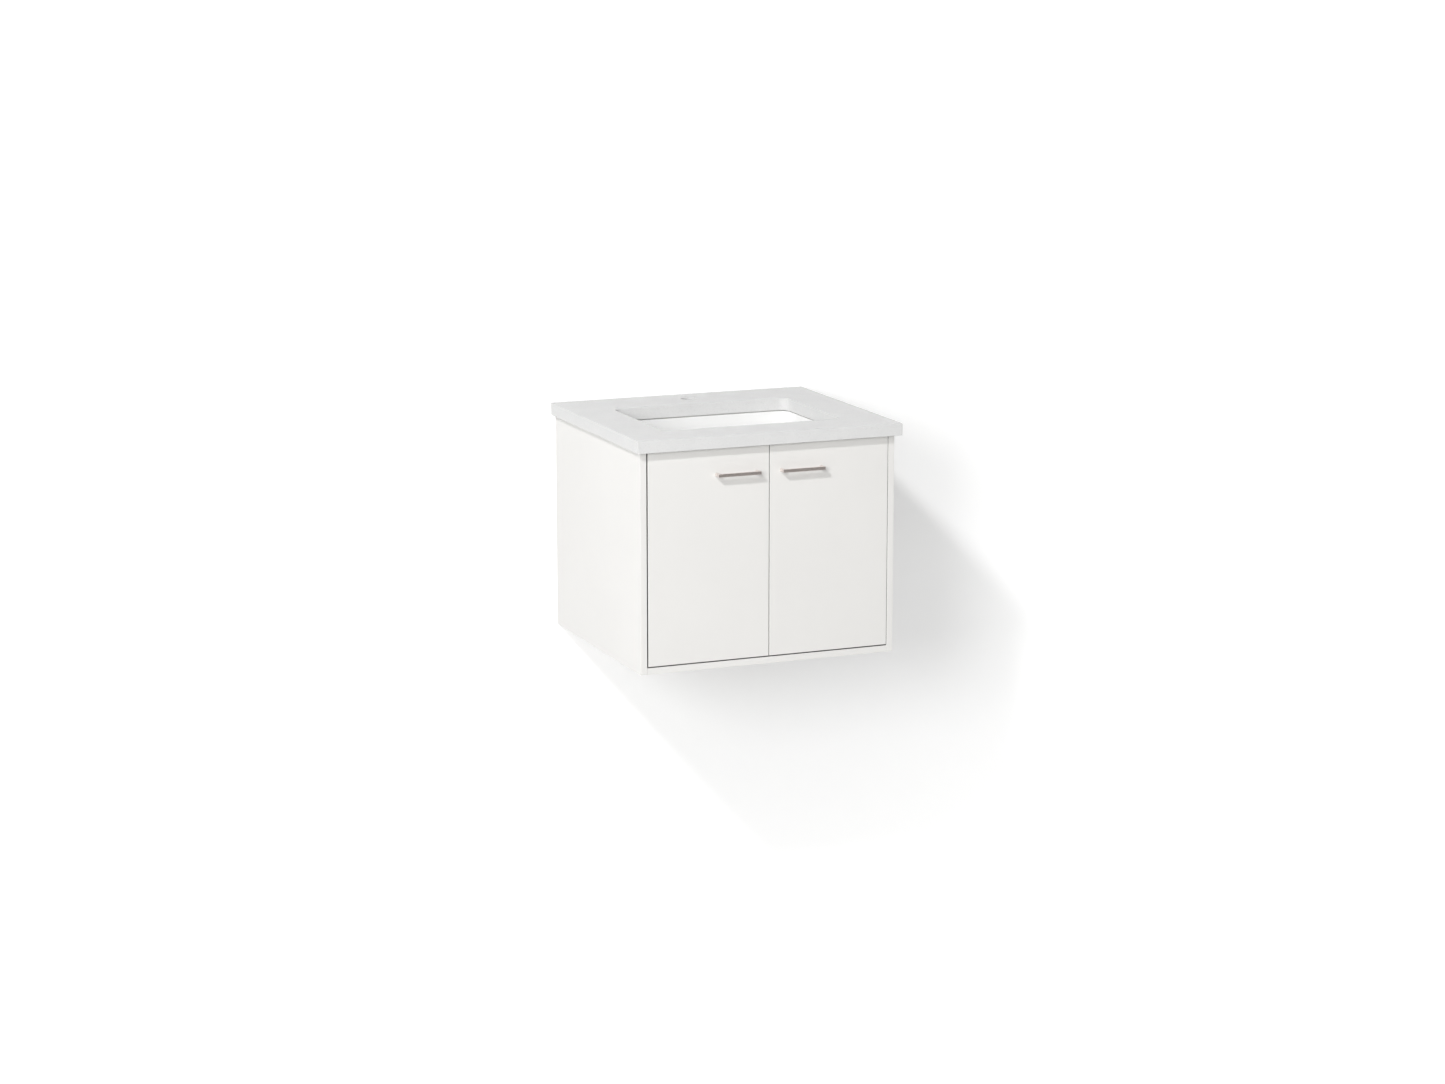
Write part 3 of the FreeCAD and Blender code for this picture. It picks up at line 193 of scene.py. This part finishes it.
def metal(name, colour, roughness, scratch, stretch=(1, 1, 1), scale=500.0, anisotropy=0.0):
    """Metal whose fine scratches run along the axis with the smallest stretch."""
    material, tree, shader = new_material(name)
    where = place(tree, stretch)
    grain = noise(tree, where, scale, 3.0, 0.65)
    tone = ramp(tree, grain, (0.3, tinted(colour, 0.90)), (0.7, colour))
    tree.links.new(tone, shader.inputs["Base Color"])
    tree.links.new(span(tree, grain, roughness * 0.8, roughness * 1.25, 0.3, 0.7), shader.inputs["Roughness"])
    tree.links.new(bump(tree, grain, scratch, 0.00005), shader.inputs["Normal"])
    shader.inputs["Metallic"].default_value = 1.0
    shader.inputs["Anisotropic"].default_value = anisotropy
    return material


def beech():
    """Long fine grain along X, the way the dowels lie."""
    material, tree, shader = new_material("beech")
    where = place(tree, (0.06, 1, 1))
    grain = noise(tree, where, 900.0, 5.0, 0.6)
    tone = ramp(tree, grain, (0.3, (0.52, 0.34, 0.19)), (0.7, (0.72, 0.53, 0.34)))
    tree.links.new(tone, shader.inputs["Base Color"])
    tree.links.new(bump(tree, grain, 0.3, 0.0001), shader.inputs["Normal"])
    shader.inputs["Roughness"].default_value = 0.6
    return material


def soft_plastic(name, colour, roughness, transmission):
    """Slightly cloudy soft plastic or silicone."""
    material, tree, shader = new_material(name)
    where = place(tree)
    cloud = noise(tree, where, 250.0, 3.0)
    tone = ramp(tree, cloud, (0.3, tinted(colour, 0.93)), (0.7, colour))
    tree.links.new(tone, shader.inputs["Base Color"])
    tree.links.new(span(tree, cloud, roughness * 0.9, roughness * 1.1), shader.inputs["Roughness"])
    tree.links.new(bump(tree, noise(tree, where, 600.0), 0.08, 0.0001), shader.inputs["Normal"])
    shader.inputs["Transmission Weight"].default_value = transmission
    return material


MATERIALS = {
    "lacquer": lacquer(),
    "melamine": melamine(),
    "quartz": quartz(),
    "porcelain": porcelain(),
    "silicone": soft_plastic("silicone", (0.78, 0.78, 0.76), 0.35, 0.0),
    "pull_steel": metal("brushed_pull", (0.86, 0.79, 0.76), 0.25, 0.25, (0.05, 1, 1), 2500.0, 0.4),
    "hinge_nickel": metal("nickel", (0.68, 0.66, 0.62), 0.20, 0.08, (1, 1, 1), 700.0),
    "screw_zinc": metal("zinc", (0.66, 0.67, 0.68), 0.30, 0.12, (1, 1, 1), 1200.0),
    "clip_steel": metal("galvanised", (0.60, 0.61, 0.62), 0.42, 0.2, (1, 1, 1), 300.0),
    "brass": metal("brass", (0.78, 0.58, 0.28), 0.25, 0.1, (1, 1, 1), 900.0),
    "beech": beech(),
    "bumper": soft_plastic("bumper", (0.82, 0.82, 0.80), 0.25, 0.6),
}


def dress():
    """Give every CAD node the material of its slot."""
    for entry in frame["record"]["subparts"]:
        piece = NODES[entry["node"]]
        piece.data.materials.clear()
        piece.data.materials.append(MATERIALS[entry["material_slot"]])


# ---------------------------------------------------------------- wall, floor, light and camera
WALL_GAP = 0.4 * MM
FLOOR_Z = -1.90
ROOM = 14.0
LIT_POINT = Vector((0, -0.3, 0))
WORLD_STRENGTH = 0.355
WALL_GLOW = 0.11                       # painted light: the wall's paint glows, so it looks more brightly lit than the cabinet
FAR_GLOW = 0.45                        # and glows more away from it, painted light that fades out the outer cast shadow
GLOW_FROM = 0.2                        # distances over which that grows
GLOW_TO = 2.0
CARD_AT = Vector((1.4, -4.2, 0))
CARD_ACROSS = Vector((0.925, 0.379, 0)) * 2.0   # from the card's middle to its right edge
CARD_LOW = Vector((0, 0, -1.7))
CARD_HIGH = Vector((0, 0, 0.9))
BOX_DISTANCE = 8.0
# name, degrees to the left of straight ahead, degrees up, diameter, strength
SOFTBOXES = (
    ("low_key", 41, 15.5, 2.6, 0.37),
    ("high_key", 46, 38, 0.72, 0.445),
    ("left_fill", 90, 5, 6.0, 0.03),
    ("right_fill", 258, 12, 2.5, 0.12),
)
BOWL_RISE = 2.0                        # height of the small light over the sink
BOWL_WATTS = 21.0
BOWL_CONE = math.radians(9.0)
BOWL_LAMP = 0.05                       # that light's radius


def pale_paint(name, colour):
    material, tree, shader = new_material(name)
    where = place(tree)
    tree.links.new(ramp(tree, noise(tree, where, 2.0), (0.3, tinted(colour, 0.995)), (0.7, colour)),
                   shader.inputs["Base Color"])
    shader.inputs["Roughness"].default_value = 0.9
    shader.inputs["Specular IOR Level"].default_value = 0.0
    return material, tree, shader


def sheet_of_room(name, corners, material):
    mesh = bpy.data.meshes.new(name)
    mesh.from_pydata(corners, [], [range(len(corners))])
    sheet = bpy.data.objects.new(name, mesh)
    bpy.context.scene.collection.objects.link(sheet)
    mesh.materials.append(material)
    return sheet


def build_room():
    """A white wall behind the cabinet, seen only from the front, whose paint glows more away from the cabinet
    as painted light, and a pale floor.
    """
    half = ROOM / 2
    paint, tree, shader = pale_paint("glowing_wall_paint", (0.98, 0.98, 0.98))
    shader.inputs["Emission Color"].default_value = (1, 1, 1, 1)
    # painted light: the wall's emission grows with distance from the cabinet
    away = add(tree, "ShaderNodeVectorMath", {"operation": "LENGTH"}, Vector=place(tree)).outputs["Value"]
    glow = span(tree, away, WALL_GLOW, WALL_GLOW + FAR_GLOW, GLOW_FROM, GLOW_TO)
    tree.links.new(glow, shader.inputs["Emission Strength"])
    facing = tree.nodes.new("ShaderNodeNewGeometry").outputs["Backfacing"]
    clear = tree.nodes.new("ShaderNodeBsdfTransparent")
    mixed = tree.nodes.new("ShaderNodeMixShader")
    tree.links.new(facing, mixed.inputs[0])
    tree.links.new(shader.outputs[0], mixed.inputs[1])
    tree.links.new(clear.outputs[0], mixed.inputs[2])
    tree.links.new(mixed.outputs[0], tree.nodes["Material Output"].inputs[0])
    corners = [(-half, WALL_GAP, FLOOR_Z), (half, WALL_GAP, FLOOR_Z),
               (half, WALL_GAP, FLOOR_Z + half), (-half, WALL_GAP, FLOOR_Z + half)]
    wall = sheet_of_room("wall", corners, paint)
    wall.visible_shadow = False
    wall.visible_diffuse = False
    wall.visible_transmission = False
    floor_paint = pale_paint("floor_paint", (0.80, 0.80, 0.79))[0]
    sheet_of_room("floor", [(-half, -half, FLOOR_Z), (half, -half, FLOOR_Z), (half, half, FLOOR_Z),
                            (-half, half, FLOOR_Z)], floor_paint)


def build_card():
    """A grey card in front on the right, seen only in reflections; it gives the pulls dark fronts."""
    paint = pale_paint("card_paint", (0.50, 0.48, 0.47))[0]
    left, right = CARD_AT - CARD_ACROSS, CARD_AT + CARD_ACROSS
    corners = [left + CARD_LOW, right + CARD_LOW, right + CARD_HIGH, left + CARD_HIGH]
    card = sheet_of_room("card", corners, paint)
    card.visible_camera = False
    card.visible_diffuse = False
    card.visible_shadow = False


def softbox(name, left, rise, size, strength):
    """A round soft light; strength is what it gives a face turned straight to it."""
    across, up = math.radians(left), math.radians(rise)
    towards = Vector((-math.sin(across) * math.cos(up), -math.cos(across) * math.cos(up), math.sin(up)))
    light = bpy.data.lights.new(name, "AREA")
    light.shape = "DISK"
    light.size = size
    light.energy = strength * (math.pi * BOX_DISTANCE) ** 2
    lamp = bpy.data.objects.new(name, light)
    lamp.location = LIT_POINT + towards * BOX_DISTANCE
    lamp.rotation_euler = (-towards).to_track_quat("-Z", "Y").to_euler()
    bpy.context.scene.collection.objects.link(lamp)


def build_bowl_spot():
    """A small light straight above the sink, not seen in reflections."""
    spot = bpy.data.lights.new("bowl_spot", "SPOT")
    spot.energy = BOWL_WATTS
    spot.spot_size = BOWL_CONE
    spot.spot_blend = 1.0
    spot.shadow_soft_size = BOWL_LAMP
    lamp = bpy.data.objects.new("bowl_spot", spot)
    low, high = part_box("sink_basin")
    lamp.location = ((low[0] + high[0]) / 2, (low[1] + high[1]) / 2, high[2] + BOWL_RISE)
    lamp.visible_glossy = False
    bpy.context.scene.collection.objects.link(lamp)


def build_light():
    world = bpy.data.worlds.new("studio")
    world.use_nodes = True
    background = world.node_tree.nodes["Background"]
    background.inputs["Color"].default_value = (1.0, 1.0, 1.0, 1)
    background.inputs["Strength"].default_value = WORLD_STRENGTH
    bpy.context.scene.world = world
    for box in SOFTBOXES:
        softbox(*box)
    build_bowl_spot()


CAMERA_AT = (-2.8836, -7.3062, 1.5439)
CAMERA_TURN = math.radians(22.302)      # to the right of straight ahead
CAMERA_TILT = math.radians(11.662)      # below level
LENS = 84.0                             # millimetres, on a sensor of the width below
SENSOR = 36.0


def build_camera():
    camera = bpy.data.cameras.new("camera")
    camera.lens = LENS
    camera.sensor_width = SENSOR
    camera.clip_end = 100.0
    viewer = bpy.data.objects.new("camera", camera)
    viewer.location = CAMERA_AT
    viewer.rotation_euler = (math.pi / 2 - CAMERA_TILT, 0, -CAMERA_TURN)
    bpy.context.scene.collection.objects.link(viewer)
    bpy.context.scene.camera = viewer


build_camera()
dress()
build_room()
build_card()
build_light()
bpy.context.scene.view_settings.view_transform = "Standard"
